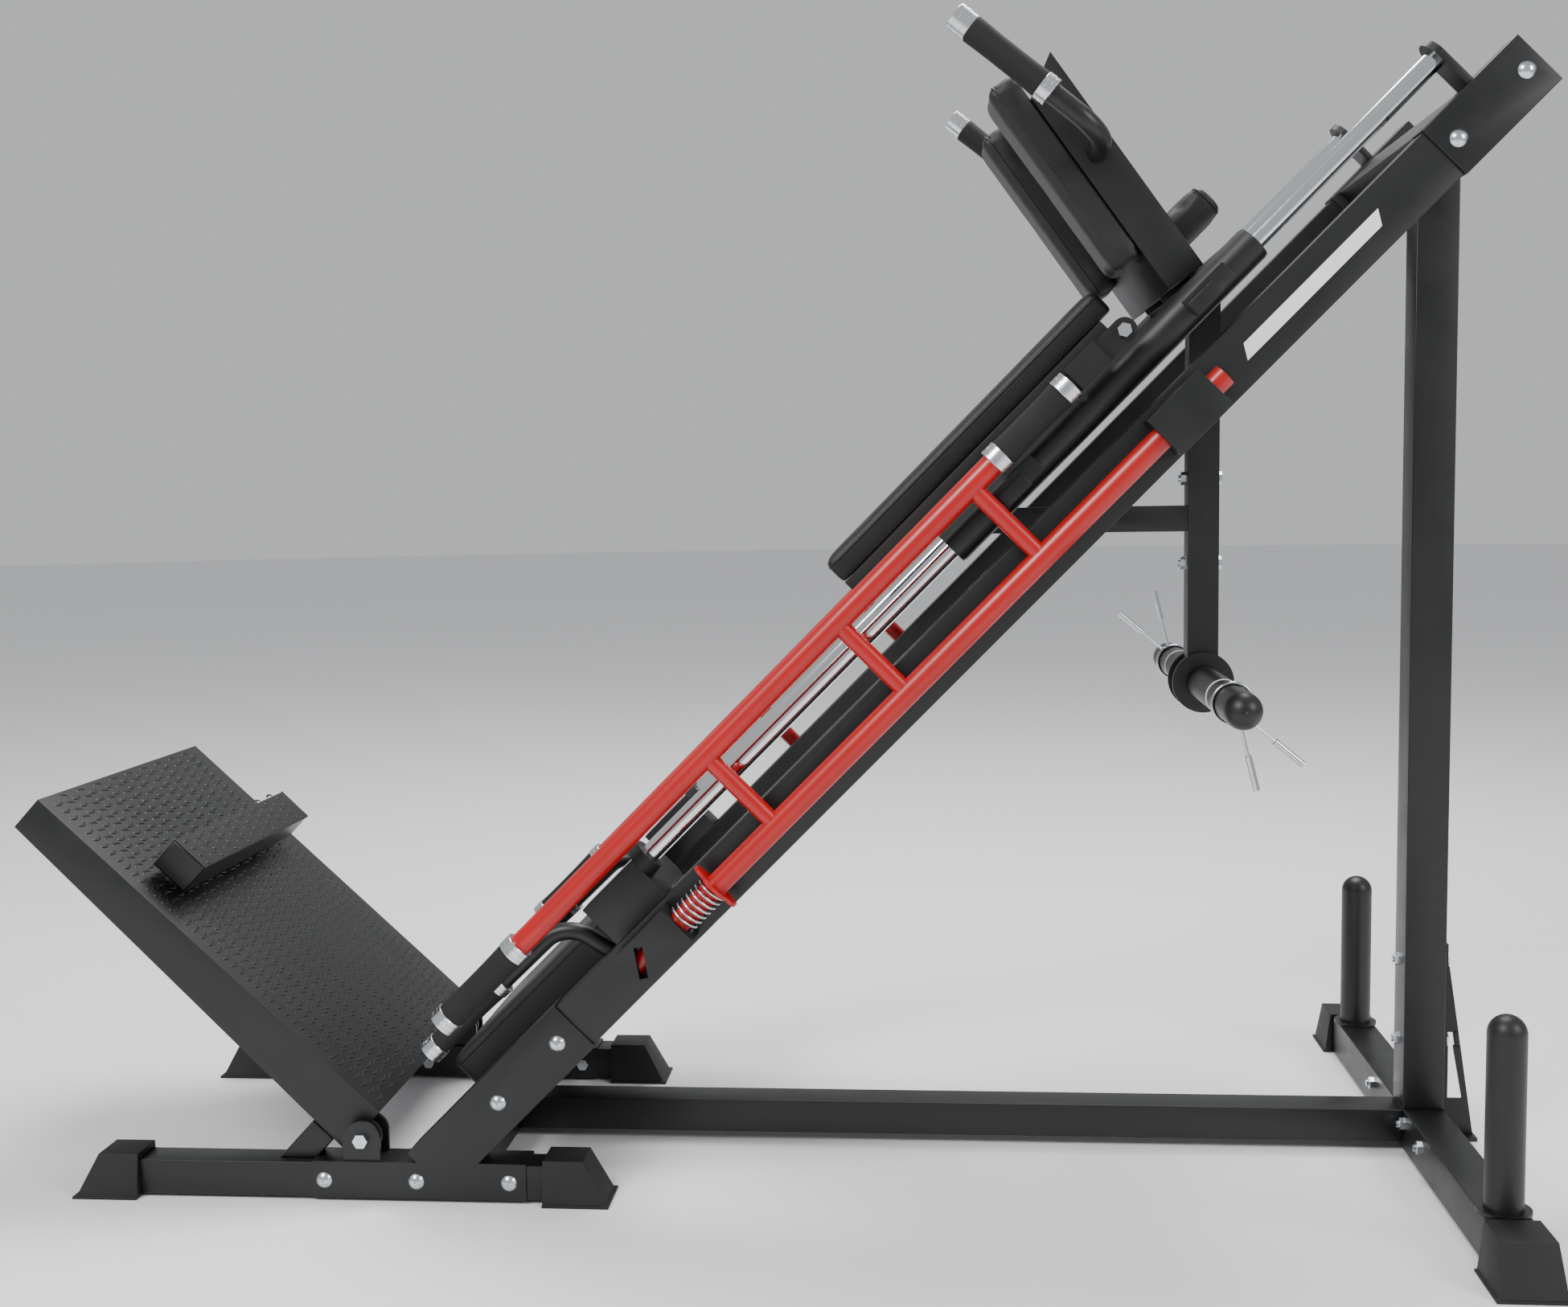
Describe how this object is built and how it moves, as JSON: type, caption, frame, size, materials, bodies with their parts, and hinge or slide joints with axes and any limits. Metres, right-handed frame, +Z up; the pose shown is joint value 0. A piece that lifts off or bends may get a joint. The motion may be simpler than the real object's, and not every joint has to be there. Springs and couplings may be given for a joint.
{
  "type": "leg press machine",
  "caption": "45 degree leg press and hack squat machine: a padded sled rides two guide rods above a tilting footplate, with swinging safety ladders and upright weight storage horns.",
  "frame": {"origin": "on the floor, midway along and across the machine's overall box", "axes": "+Z up, +X along the machine from the footplate end to the weight storage end, Y across it; +Y is on a seated user's right"},
  "size_m": [2.1239, 1.1, 1.624],
  "materials": {
    "black_powder_coat": "satin black powder coat",
    "red_powder_coat": "gloss red powder coat",
    "chrome": "polished hard chrome",
    "black_rubber": "matte black rubber",
    "black_vinyl": "fine grained black upholstery vinyl",
    "zinc_plate": "bright zinc plate",
    "black_board": "black stained plywood",
    "black_nylon": "moulded black nylon",
    "spring_steel": "bright spring steel"
  },
  "bodies": {
    "frame": {"crosshead": "black_powder_coat", "floor_rail_boots": "black_rubber", "floor_rails": "black_powder_coat", "footplate_props": "black_powder_coat", "frame_bolts": "zinc_plate", "frame_nuts": "zinc_plate", "front_cross_tube": "black_powder_coat", "guide_rods": "chrome", "hinge_pins": "zinc_plate", "ladder_bearings": "black_powder_coat", "ladder_spring_left": "spring_steel", "ladder_spring_right": "spring_steel", "long_base_tube": "black_powder_coat", "main_rail_left": "black_powder_coat", "main_rail_right": "black_powder_coat", "post_gusset": "black_powder_coat", "rear_base_boots": "black_rubber", "rear_base_tube": "black_powder_coat", "rod_bumpers": "black_rubber", "rod_feet": "black_powder_coat", "rod_top_brackets": "black_powder_coat", "seat_board": "black_board", "seat_grip_collars": "chrome", "seat_handle_grips": "black_rubber", "seat_handles": "black_powder_coat", "seat_pad": "black_vinyl", "seat_support": "black_powder_coat", "side_bracket_left": "black_powder_coat", "side_bracket_right": "black_powder_coat", "storage_post_caps": "black_nylon", "storage_posts": "black_powder_coat", "upright_post": "black_powder_coat"},
    "sled": {"sled_tubes": "black_powder_coat", "sled_bushes": "black_nylon", "sled_frame": "black_powder_coat", "back_pad": "black_vinyl", "back_board": "black_board", "shoulder_tray": "black_powder_coat", "head_pad": "black_vinyl", "shoulder_pad_left": "black_vinyl", "shoulder_pad_right": "black_vinyl", "push_handles": "black_powder_coat", "safety_hooks": "black_powder_coat", "push_handle_grips": "black_rubber", "push_grip_collars": "chrome", "weight_hanger": "black_powder_coat", "weight_horn": "black_powder_coat", "horn_caps": "black_nylon", "hanger_bolts": "zinc_plate"},
    "ladder_swing_left": {"ladder_left": "red_powder_coat", "ladder_grips_left": "black_rubber", "ladder_collars_left": "chrome"},
    "ladder_swing_right": {"ladder_right": "red_powder_coat", "ladder_grips_right": "black_rubber", "ladder_collars_right": "chrome"},
    "footplate_tilting": {"footplate": "black_powder_coat", "footplate_frame": "black_powder_coat", "calf_block": "black_powder_coat"},
    "clip_left": {"spring_clip_left": "spring_steel"},
    "clip_right": {"spring_clip_right": "spring_steel"}
  },
  "joints": [
    {"name": "sled_slide", "type": "slide", "parent": "frame", "child": "sled", "axis": [0.7071, 0, 0.7071], "range_m": [-0.56, 0.3]},
    {"name": "ladder_left_turn", "type": "hinge", "parent": "frame", "child": "ladder_swing_left", "pos_m": [-0.508, -0.325, 0], "axis": [0.7071, 0, 0.7071], "range_deg": [0, 25], "stiffness_Nm_per_rad": 12, "springref_deg": -17.19, "deforming": ["ladder_spring_left"]},
    {"name": "ladder_right_turn", "type": "hinge", "parent": "frame", "child": "ladder_swing_right", "pos_m": [-0.508, 0.325, 0], "axis": [-0.7071, 0, -0.7071], "range_deg": [0, 25], "stiffness_Nm_per_rad": 12, "springref_deg": -17.19, "deforming": ["ladder_spring_right"]},
    {"name": "footplate_tilt", "type": "hinge", "parent": "frame", "child": "footplate_tilting", "pos_m": [-0.562, 0, 0.088], "axis": [0, 1, 0], "range_deg": [0, 25]},
    {"name": "clip_left_slide", "type": "slide", "parent": "sled", "child": "clip_left", "axis": [0, -1, 0], "range_m": [-0.22, 0.06]},
    {"name": "clip_right_slide", "type": "slide", "parent": "sled", "child": "clip_right", "axis": [0, 1, 0], "range_m": [-0.22, 0.06]}
  ]
}
